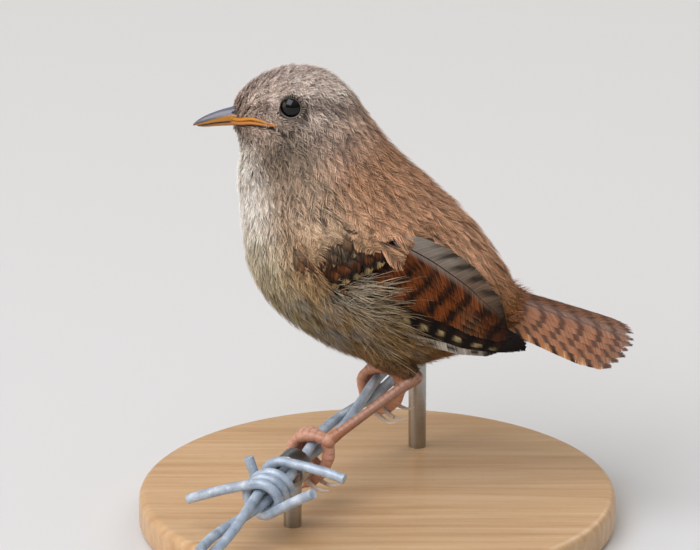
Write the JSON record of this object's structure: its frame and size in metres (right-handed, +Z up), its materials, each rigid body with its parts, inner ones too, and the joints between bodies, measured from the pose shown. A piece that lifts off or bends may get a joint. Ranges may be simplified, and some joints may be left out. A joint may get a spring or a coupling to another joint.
{
  "type": "wren perched on a short length of barbed wire on a display stand",
  "caption": "Life-size wren with cocked head and folded wings, gripping a twisted barbed wire held by two rods on a round base.",
  "frame": {"origin": "centre of the underside of the round base", "axes": "+Z up, the bird's bill points to -X and its left side faces -Y"},
  "size_m": [0.083, 0.0834, 0.0811],
  "materials": {
    "plumage": "soft, matte, finely barred feathers",
    "wing": "smooth folded feathers, slightly silky",
    "tail": "smooth stiff feathers",
    "bill": "horn, satin",
    "eye": "wet gloss",
    "leg": "scaled skin, satin",
    "wire": "dull zinc coat",
    "rod": "satin",
    "base": "turned, waxed beech"
  },
  "bodies": {
    "root": {"head": "plumage", "neck": "plumage", "torso": "plumage", "bill_upper": "bill", "bill_lower": "bill", "eye_left": "eye", "eye_right": "eye", "wing_left": "wing", "wing_right": "wing", "tail": "tail", "thigh_left": "plumage", "thigh_right": "plumage", "tarsus_left": "leg", "tarsus_right": "leg", "foot_left": "leg", "foot_right": "leg", "perch_strand_a": "wire", "perch_strand_b": "wire", "perch_barb_a": "wire", "perch_barb_b": "wire", "stand_rod_near": "rod", "stand_rod_far": "rod", "stand_base": "base"}
  },
  "joints": []
}
